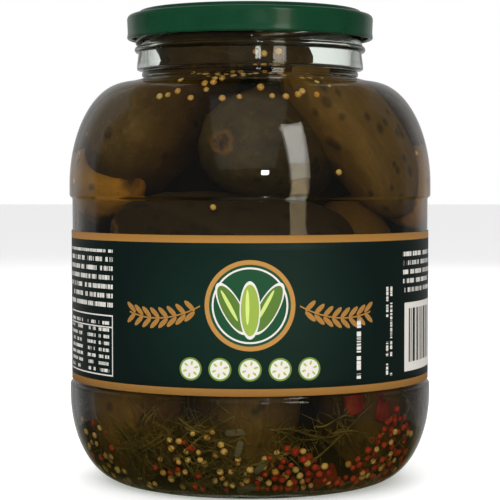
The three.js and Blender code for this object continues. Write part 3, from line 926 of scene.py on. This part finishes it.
# %% [markdown]
# ## The packed gherkins
# All gherkins share one skin, so the standing and the lying ones are one mesh each. One object for every
# gherkin would look the same, but two are easier to hand on. Each gherkin has its own seed, so a change
# to one leaves the others.


# %% The packed gherkins
def heap_of(name, specs, first_seed):
    grown = [gherkin(spec, first_seed + i) for i, spec in enumerate(specs)]
    points, faces = joined([(points, faces) for points, faces, _ in grown])
    marks = {key: np.concatenate([m[key] for _, _, m in grown]) for key in grown[0][2]}
    piece(name, points, faces, pickled_skin, "gherkin_heap", "gherkin", attributes=marks, weld=True)


heap_of("standing_gherkins", standing, 100)
heap_of("lying_gherkins", lying, 200)

# %% [markdown]
# ## The dark core
# More gherkins fill the middle of the jar, where nothing can be made out. Modelling them would cost much
# and show nothing, so the middle is one turned, mottled brown core that stops the eye from looking right
# through. Its brown is darker than the gherkins' skin: painted shade for the packed middle, where no
# light reaches.

# %% The dark core
CORE_R, CORE_TOP, CORE_STEM_R, CORE_STEM_TOP = 30.0, 122.0, 11.0, 138.0
core_mash = Finish("core_mash", {"Roughness": 0.9, "Specular IOR Level": 0.0})
mash = core_mash.noise(core_mash.place(), 120.0, detail=5.0)
# The dark browns are painted shade of the packed middle.
core_mash.surface(Base_Color=core_mash.mix(rgb(24, 19, 10), rgb(52, 42, 20), mash))
core_profile = rounded(
    [
        (0, FLOOR + FLOOR_RISE + 1, 0),
        (FLOOR_R, FLOOR + 1.2, 3),
        (CORE_R + 16, 15, 6),
        (CORE_R, 24, 6),
        (CORE_R, CORE_TOP - 14, 8),
        (CORE_STEM_R, CORE_TOP, 4),
        (CORE_STEM_R, CORE_STEM_TOP, 4),
        (0, CORE_STEM_TOP, 0),
    ],
    steps=8,
)
piece("packed_core", *turned(core_profile, 72), core_mash, "gherkin_heap", weld=True)

# %% [markdown]
# ## The label
# A paper strip is wound once round the jar's recessed panel and glued to itself at the back. A tube would
# do for the front, but the lap shows from behind, so it is a thin closed sheet with a real lap. Each
# point of the paper knows how far along and how far up it is, in millimetres, for the print.

# %% The wound paper
LABEL_LOW, LABEL_HIGH = box_mm("label")
LABEL_BOTTOM, LABEL_HEIGHT = LABEL_LOW[2], LABEL_HIGH[2] - LABEL_LOW[2]
LABEL_INNER_R, LABEL_SHEET = PANEL_R + 0.15, 0.2
LAP, LAP_LIFT, LAP_RAMP = 0.17, 0.24, 0.08
LABEL_STEPS, LABEL_ROWS = 240, 10


def wound_paper():
    """A closed strip: outer face, top edge, inner face and bottom edge, from end to end of the paper."""
    turn = np.linspace(-math.pi, math.pi + LAP, LABEL_STEPS + 1)
    over = np.clip((turn - math.pi + LAP_RAMP) / LAP_RAMP, 0, 1)
    inner = LABEL_INNER_R + LAP_LIFT * over**2 * (3 - 2 * over)
    up = np.linspace(0, LABEL_HEIGHT, LABEL_ROWS + 1)
    rise = np.concatenate([up, up[::-1]])
    thick = np.concatenate([np.full_like(up, LABEL_SHEET), np.zeros_like(up)])
    radius = inner[:, None] + thick[None, :]
    high = np.broadcast_to(rise, radius.shape)
    x, y = radius * np.sin(turn)[:, None], -radius * np.cos(turn)[:, None]
    points = np.stack([x, y, high + LABEL_BOTTOM], -1).reshape(-1, 3)
    where = np.stack([np.broadcast_to(turn[:, None] * PANEL_R, radius.shape), high, 0 * radius], -1)
    quads = skin_between(*radius.shape)[:, [0, 3, 2, 1]]
    rung = np.arange(LABEL_ROWS)
    last = 2 * LABEL_ROWS + 1
    ends = np.stack([rung, rung + 1, last - rung - 1, last - rung], -1)
    return points, np.vstack([quads, ends, (ends + LABEL_STEPS * (last + 1))[:, ::-1]]), where.reshape(-1, 3)


paper_points, paper_faces, paper_where = wound_paper()
print(f"label: {LABEL_HEIGHT:.1f} mm high, lapped by {LAP * PANEL_R:.0f} mm")

# %% [markdown]
# ## Printing tools
# The print could be an image, but formulas stay sharp at any size: every printed shape is a test on the
# two distances that a point of the paper knows. Blocks, ovals and outlines are enough for a generic
# label. Text that is too small to read is rows of plain bars, broken up at random.

# %% Printing tools
print_job = Finish(
    "printed_paper", {"IOR": 1.4, "Specular IOR Level": 0.25, "Coat Weight": 0.03, "Coat Roughness": 0.25}
)
along, up, _ = print_job.mark("print_at", "Vector").parts()
from_middle = abs(along)


def block(left, right, bottom, top):
    return along.between(left, right) * up.between(bottom, top)


def oval(at, centre, half_width, half_height, tilt=0.0):
    """Distance from an oval's middle, 1 on its edge. at is the pair of signals to test."""
    du, dv = at[0] - centre[0], at[1] - centre[1]
    c, s = math.cos(tilt), math.sin(tilt)
    across = (du * c + dv * s) / half_width
    rise = (dv * c - du * s) / half_height
    return (across * across + rise * rise).root()


def small_print(left, right, bottom, top, pitch, weight, standing_up=False):
    """Lines of bars with gaps, for text that is too small to read. standing_up turns the lines on end."""
    run, stack = (up, along) if standing_up else (along, up)
    low, high = (left, right) if standing_up else (bottom, top)
    line = ((stack - low) / pitch).whole()
    spot = print_job.node("ShaderNodeCombineXYZ", values={0: run, 1: line * 9.7 + low, 2: 0.0})
    words = print_job.noise(print_job.stretched(spot, (0.42, 1, 1)), 1.0, detail=0.0) > 0.4
    letters = print_job.noise(print_job.stretched(spot, (2.6, 1, 1)), 1.0, detail=1.0) > 0.44
    in_line = ((stack - low) % pitch) < weight
    return block(left, right, bottom, top) * words * letters * in_line


def outline(left, right, bottom, top, weight):
    inside = block(left + weight, right - weight, bottom + weight, top - weight)
    return block(left, right, bottom, top) - inside


print(f"the paper is {(FULL_TURN + LAP) * PANEL_R:.0f} mm long")

# %% [markdown]
# ## The print
# Dark green with a gold band along each edge, and in the middle a medallion of three gherkins between two
# sprigs, over a row of slices. Later layers cover earlier ones, as on a press: field, gold, then the
# bright inks.

# %% The print
GOLD, CREAM, FIELD = rgb(146, 104, 49), rgb(180, 177, 171), rgb(5, 20, 17)
BAND = 2.4
MEDAL_UP, MEDAL_R = 29.0, 14.5
SPRIG_UP, SPRIG_FIRST, SPRIG_PITCH, SPRIG_RISE, LEAF_PAIRS = MEDAL_UP - 4.5, 19.5, 3.1, 0.16, 8
STEM_LOWEST, STEM_CURVE, STEM_HALF = 32, 0.0166, 0.25
LEAF_LONG, LEAF_WIDE, LEAF_TILT, LEAF_OUT = 2.3, 0.8, 0.75, 1.7
SLICE_UP, SLICE_R, SLICE_PITCH, SLICE_RUN = 8.6, 3.7, 9.6, 24.0
PIPS, PIP_RING, PIP_LONG, PIP_WIDE = 6, 2.0, 0.75, 0.34

centre_glow = (1 - oval((along, up), (0, 26), 46, 34)).clamped()
ink = print_job.mix(FIELD, rgb(7, 40, 29), centre_glow * 0.75)
gold = (up < BAND) + (up > LABEL_HEIGHT - BAND)

leaf_gold = 0.0
for i in range(LEAF_PAIRS):
    stem_along = SPRIG_FIRST + SPRIG_PITCH * i
    stem_up = SPRIG_UP + SPRIG_RISE * (i - LEAF_PAIRS / 2) ** 2
    for way in (1, -1):
        leaf_at = (stem_along, stem_up + way * LEAF_OUT)
        leaf = oval((from_middle, up), leaf_at, LEAF_LONG, LEAF_WIDE, way * LEAF_TILT) < 1
        leaf_gold = leaf + leaf_gold
from_lowest = from_middle - STEM_LOWEST
stem = abs(up - (SPRIG_UP + STEM_CURVE * from_lowest * from_lowest)) < STEM_HALF
gold = gold + leaf_gold + stem * from_middle.between(16, 42)

medal = oval((along, up), (0, MEDAL_UP), MEDAL_R, MEDAL_R)
ink = print_job.mix(ink, GOLD, gold.clamped())
ink = print_job.mix(ink, GOLD, medal < 1)
ink = print_job.mix(ink, rgb(18, 61, 37), medal < 0.9)
ink = print_job.mix(ink, CREAM, medal.between(0.8, 0.84))
for lean, shade in ((-0.5, rgb(68, 96, 35)), (0.5, rgb(68, 96, 35)), (0.0, rgb(118, 138, 53))):
    upright = math.pi / 2 - lean
    gherkin_print = oval((along, up), (12 * math.sin(lean), MEDAL_UP - 1.5 + abs(lean)), 8.2, 2.9, upright)
    sheen = oval((along, up), (12 * math.sin(lean) - 0.8, MEDAL_UP - 0.5 + abs(lean)), 5.6, 0.6, upright)
    ink = print_job.mix(ink, CREAM, gherkin_print < 1.13)
    ink = print_job.mix(ink, shade, gherkin_print < 1)
    ink = print_job.mix(ink, rgb(175, 188, 107), (sheen < 1) * 0.8)

slice_along = (along + SLICE_PITCH / 2) % SLICE_PITCH - SLICE_PITCH / 2
slice_reach = oval((slice_along, up), (0, SLICE_UP), SLICE_R, SLICE_R)
in_run = from_middle < SLICE_RUN
ink = print_job.mix(ink, rgb(85, 112, 40), (slice_reach < 1) * in_run)
ink = print_job.mix(ink, CREAM, (slice_reach < 0.84) * in_run)
for k in range(PIPS):
    pip_turn = FULL_TURN * k / PIPS + 0.3
    pip_at = (PIP_RING * math.cos(pip_turn), SLICE_UP + PIP_RING * math.sin(pip_turn))
    pip = oval((slice_along, up), pip_at, PIP_LONG, PIP_WIDE, pip_turn) < 1
    ink = print_job.mix(ink, rgb(138, 147, 64), pip * in_run)
print(f"medallion {2 * MEDAL_R:.0f} mm across")

# %% [markdown]
# ## The small print
# The sides of a label carry text, a table and a striped panel that nobody reads from here. Real letters
# would need a font or an image, and bars with gaps look the same at this size. The paper's own fibres
# then make the ink a little uneven, and the gold has a slight metal sheen.

# %% The small print
# Sizes on the paper in millimetres: left, right, bottom, top, then the pitch and weight of the lines.
LINES = [
    (-86, -50, 27, 46, 3.0, 1.5),
    (-84.5, -70, 5.4, 23.4, 2.25, 1.1),
    (-66, -60, 5.4, 23.4, 2.25, 1.1),
    (-58, -52, 5.4, 23.4, 2.25, 1.1),
    (59, 92, 31.5, 46, 3.0, 1.5),
    (112, 182, 12, 38, 4.0, 1.7),
    (-182, -112, 12, 38, 4.0, 1.7),
]
UPRIGHT_LINES = [(36.4, 38.2, 4.5, 24, 2.6, 1.7), (49.5, 53.4, 4.5, 34, 2.1, 1.1)]
FRAMES = [(-86, -50, 4.2, 24.4, 0.45), (108, 186, 8, 43, 0.5), (-186, -108, 8, 43, 0.5)]
TABLE_RULE = (-86, -50, 20.2, 20.6)
STRIPE_PANEL, STRIPE_FIELD = (60, 88, 5, 28), (62.5, 85.5, 8, 26)
STRIPE_INK = rgb(18, 20, 20)

small = block(*TABLE_RULE)
for lines in LINES:
    small = small + small_print(*lines)
for lines in UPRIGHT_LINES:
    small = small + small_print(*lines, standing_up=True)
for frame_line in FRAMES:
    small = small + outline(*frame_line)
ink = print_job.mix(ink, CREAM, small.clamped())
stripes = ((along % 1.5) < 0.6) + ((along % 3.5) < 0.9)
ink = print_job.mix(ink, CREAM, block(*STRIPE_PANEL))
ink = print_job.mix(ink, STRIPE_INK, stripes.clamped() * block(*STRIPE_FIELD))
fibre = print_job.noise(print_job.place(), 900.0, detail=2.0)
print_job.surface(
    Base_Color=ink,
    Roughness=0.4 + 0.15 * fibre,
    Metallic=gold.clamped() * 0.25,
    Normal=print_job.bump(fibre, 0.03, strength=0.3),
)
piece("paper_label", paper_points, paper_faces, print_job, "label", "label_paper", {"print_at": paper_where})

# %% [markdown]
# ## Mustard and red seeds
# Most of the seeds sink and lie in drifts on the floor against the glass, and some float up under the
# shoulder. A particle system could scatter them, but it isn't exported, so each kind is one mesh: a small
# ball copied by a rule with a seeded draw, and kept apart so that seeds touch but don't merge.


# %% Round seeds
def pebble(around=12, rings=8):
    """A unit sphere."""
    tilt = np.linspace(-math.pi / 2, math.pi / 2, rings + 1)
    return turned(np.column_stack([np.cos(tilt), np.sin(tilt)]), around)


SEED_R = 1.25
DRIFTS = [
    {"turn": 0.97, "half": 21, "depth": 6, "top": 29, "seeds": 260},
    {"turn": 0.24, "half": 22, "depth": 6, "top": 19, "seeds": 240},
    {"turn": -0.3, "half": 24, "depth": 3, "top": 27, "seeds": 70},
    {"turn": -1.1, "half": 20, "depth": 3, "top": 32, "seeds": 46},
    {"turn": -2.0, "half": 26, "depth": 7, "top": 20, "seeds": 90},
    {"turn": 2.4, "half": 30, "depth": 7, "top": 22, "seeds": 110},
]
FLOATING = {"from": -0.62, "to": 1.05, "low": 129, "high": 138.6, "seeds": 120}
STRAYS = [(0.05, 146.8), (0.13, 146.2), (0.27, 147), (-1.2, 119), (-1.28, 113), (-1.34, 104)]
STRAYS += [(1.2, 113), (0.5, 107), (-0.2, 96), (2.0, 118), (3.0, 112)]
SEED_SPACING, SEED_BED_TOP = 1.8, 40
RED_ON_RIGHT, RED_ON_LEFT = 0.68, 0.3


def at_wall(turn, height, depth):
    """A point at a depth behind the inside of the glass."""
    radius = wall_radius(np.array([height]))[0] - depth
    return np.array([radius * math.sin(turn), -radius * math.cos(turn), height])


def seed_places(draw):
    """Middles of all seeds: the drifts on the floor, the floating ones, and strays."""
    wanted = []
    for drift in DRIFTS:
        for _ in range(drift["seeds"]):
            share = draw.normal(0, 0.45)
            crest = FLOOR + 2 + (drift["top"] - FLOOR - 2) * max(0.12, 1 - abs(share) ** 1.5)
            height = FLOOR + 1.6 + (crest - FLOOR - 1.6) * draw.uniform(0, 1) ** 1.3
            turn = drift["turn"] + share * drift["half"] / INNER_R
            wanted.append(at_wall(turn, height, SEED_R + 0.15 + drift["depth"] * draw.uniform(0, 1) ** 3))
    for _ in range(FLOATING["seeds"]):
        turn = draw.uniform(FLOATING["from"], FLOATING["to"])
        height = FLOATING["high"] - (FLOATING["high"] - FLOATING["low"]) * draw.uniform(0, 1) ** 2.4
        wanted.append(at_wall(turn, height, SEED_R + 0.2 + 3 * draw.uniform(0, 1) ** 2))
    for turn, height in STRAYS:
        wanted.append(at_wall(turn, height, SEED_R + 0.2))
    kept = []
    for place in wanted:
        if all(np.linalg.norm(place - other) > SEED_SPACING * SEED_R for other in kept):
            kept.append(place)
    return kept


seed_draw = np.random.default_rng(7)
seeds = seed_places(seed_draw)
yellow_seeds, red_seeds = [], []
for place in seeds:
    red_share = RED_ON_RIGHT if place[0] > 0 else RED_ON_LEFT
    red_share *= place[2] < SEED_BED_TOP
    size = SEED_R * seed_draw.uniform(0.78, 1.0) * (0.85, 0.95, 1.05)[seed_draw.integers(3)]
    (red_seeds if seed_draw.uniform() < red_share else yellow_seeds).append((place, min(size, SEED_R)))
print(f"{len(yellow_seeds)} yellow and {len(red_seeds)} red seeds")


def seed_finish(name, dull, bright):
    """A seed coat: each seed a little different, with a fine dimpled skin."""
    coat = Finish(name, {"IOR": 1.45, "Specular IOR Level": 0.4})
    place = coat.place()
    patchy = coat.noise(place, 260.0, detail=3.0)
    fine = coat.noise(place, 1800.0, detail=2.0)
    colour = coat.mix(dull, bright, ((patchy - 0.35) * 3.0).clamped())
    coat.surface(Base_Color=colour, Roughness=0.35 + 0.2 * fine, Normal=coat.bump(fine, 0.03, strength=0.3))
    return coat


def seed_mesh(name, places, coat):
    ball, quads = pebble()
    parts = [(ball * size * (1, 1, 0.94) + place, quads) for place, size in places]
    piece(name, *joined(parts), coat, weld=True)


seed_mesh("mustard_seeds", yellow_seeds, seed_finish("mustard_coat", rgb(246, 168, 74), rgb(255, 214, 124)))
seed_mesh("red_seeds", red_seeds, seed_finish("red_coat", rgb(160, 30, 16), rgb(230, 76, 40)))

# %% [markdown]
# ## Dill
# Dill sinks in dark feathery clumps: thin stems with hair-fine twigs all round. Hair curves would be the
# quick way, but the export keeps only meshes, so each stem and twig is a tapered tube along a short wavy
# path, pulled in where it would touch the glass.

# %% Dill
DILL_STEMS, DILL_CLUMP, DILL_TWIGS = 60, 34, 24
STEM_R, TWIG_R, TIP_SHARE = 0.5, 0.15, 0.45
DILL_TOP, TWIG_CLEAR = 33, 0.6
TWIG_REACH, TWIG_BEND = (4.2, 4.2, 4.6), 1.6


def thread(path, radius, sides=5):
    """A tapered tube along a path of points, closed at both ends."""
    path = np.asarray(path)
    ahead = np.gradient(path, axis=0)
    ahead /= np.linalg.norm(ahead, axis=1)[:, None]
    side = np.cross(ahead, (0.31, 0.52, 0.79))
    side /= np.linalg.norm(side, axis=1)[:, None]
    other = np.cross(ahead, side)
    turn = np.arange(sides) * FULL_TURN / sides
    taper = radius * np.linspace(1, TIP_SHARE, len(path))
    taper[[0, -1]] = 0
    ring = np.cos(turn)[None, :, None] * side[:, None] + np.sin(turn)[None, :, None] * other[:, None]
    points = (path[:, None] + ring * taper[:, None, None]).reshape(-1, 3)
    return points, skin_between(len(path), sides)


def dill(draw):
    """Stems that lie round the bottom of the jar, each with fine twigs all round."""
    parts = []
    clump = draw.uniform(-0.95, 0.1, DILL_CLUMP)
    around = FULL_TURN * (np.arange(DILL_STEMS) + draw.uniform(0, 1, DILL_STEMS)) / DILL_STEMS
    for turn in [*clump, *around]:
        height, depth = draw.uniform(8, 30), draw.uniform(1.2, 6.0)
        slope, run = draw.uniform(-0.9, 0.9), draw.uniform(14, 30)
        share = np.linspace(0, 1, 12)
        wave = 1.5 * np.sin(share * draw.uniform(3, 7) + draw.uniform(0, 6))
        stem = []
        for s, w in zip(share, wave):
            level = np.clip(height + slope * run * (s - 0.5) + w, FLOOR + 2.5, DILL_TOP)
            stem.append(at_wall(turn + run * (s - 0.5) / INNER_R, level, depth))
        stem = np.array(stem)
        parts.append(thread(stem, STEM_R * draw.uniform(0.6, 1.2)))
        for _ in range(DILL_TWIGS):
            base = stem[draw.integers(1, 11)]
            reach = draw.normal(0, 1, 3) * TWIG_REACH
            bend = draw.normal(0, TWIG_BEND, 3)
            step = np.linspace(0, 1, 6)[:, None]
            twig = base + reach * step + bend * step * (1 - step) * 2
            parts.append(thread(pressed(twig, TWIG_CLEAR), TWIG_R * draw.uniform(0.7, 1.2)))
    return joined(parts)


dill_green = Finish("dill_green", {"IOR": 1.4, "Specular IOR Level": 0.3})
dill_tone = dill_green.noise(dill_green.place(), 140.0, detail=3.0)
dill_green.surface(
    Base_Color=dill_green.mix(rgb(76, 61, 27), rgb(151, 121, 56), ((dill_tone - 0.35) * 2.8).clamped()),
    Roughness=0.45 + 0.2 * dill_tone,
    Normal=dill_green.bump(dill_green.noise(dill_green.place(), 1500.0), 0.1, strength=0.4),
)
piece("dill_fronds", *dill(np.random.default_rng(21)), dill_green, weld=True)

# %% [markdown]
# ## Paprika and onion
# A few soft flakes of red pepper and slivers of onion lie against the glass. They could be cut from
# planes, but a flake has thickness, so each is a ball squared off, flattened, curled and pressed to the
# wall. Pepper is opaque, and onion lets some light through.

# %% Paprika and onion
FLAKES = [(0.62, 31.5, 0.2), (0.83, 29.0, 1.2), (0.5, 9.5, 0.4)]
FLAKES += [(1.7 + 0.62 * k, 12.0 + 5.5 * (k % 4), 0.8 * k) for k in range(6)]
SLIVERS = [(-0.08, 24.0, 0.1), (-0.06, 19.0, 1.3), (0.07, 13.5, 0.9)]
SLIVERS += [(-0.02, 6.6, 0.2), (1.5, 14.0, 0.4), (2.8, 20.0, 2.0)]
FLAKE_SIZE = {"half_long": 4.2, "half_wide": 3.2, "half_thick": 0.8, "curl": 1.2, "depth": 2.2}
SLIVER_SIZE = {"half_long": 3.4, "half_wide": 1.1, "half_thick": 0.4, "curl": 0.9, "depth": 1.4}
SQUARENESS, CHIP_CLEAR = 0.62, 0.3


def chip(turn, height, roll, half_long, half_wide, half_thick, curl, depth, around=20, rings=10):
    """A bent, rounded chip against the glass: how far round the jar, how high, how it lies, and its size."""
    ball, quads = pebble(around, rings)
    squared = np.sign(ball) * np.abs(ball) ** SQUARENESS
    x, y, z = (squared * (half_long, half_thick, half_wide)).T
    y = y + curl * (x / half_long) ** 2 + 0.12 * half_wide * np.sin(1.9 * x / half_long + roll)
    c, s = math.cos(roll), math.sin(roll)
    flat = np.column_stack([x * c - z * s, y, x * s + z * c])
    spin = np.array([[math.cos(turn), math.sin(turn), 0], [-math.sin(turn), math.cos(turn), 0], [0, 0, 1]])
    return pressed(flat @ spin + at_wall(turn, height, depth), CHIP_CLEAR), quads


paprika = Finish("paprika_flesh", {"IOR": 1.4, "Specular IOR Level": 0.4})
flesh = paprika.noise(paprika.place(), 150.0, detail=4.0)
paprika.surface(
    Base_Color=paprika.mix(rgb(103, 22, 9), rgb(167, 52, 22), ((flesh - 0.35) * 2.6).clamped()),
    Roughness=0.3 + 0.2 * flesh,
    Normal=paprika.bump(flesh, 0.2, strength=0.5),
)
flake_parts = [chip(*where, **FLAKE_SIZE) for where in FLAKES]
piece("paprika_flakes", *joined(flake_parts), paprika, weld=True)

onion = Finish("onion_flesh", {"IOR": 1.38, "Transmission Weight": 0.4, "Roughness": 0.3})
layers = onion.noise(onion.stretched(onion.place(), (1, 1, 5)), 300.0, detail=3.0)
onion.surface(
    Base_Color=onion.mix(rgb(92, 80, 52), rgb(137, 123, 90), layers),
    Normal=onion.bump(layers, 0.1, strength=0.4),
)
sliver_parts = [chip(*where, **SLIVER_SIZE) for where in SLIVERS]
piece("onion_slivers", *joined(sliver_parts), onion, weld=True)

# %% [markdown]
# ## The end
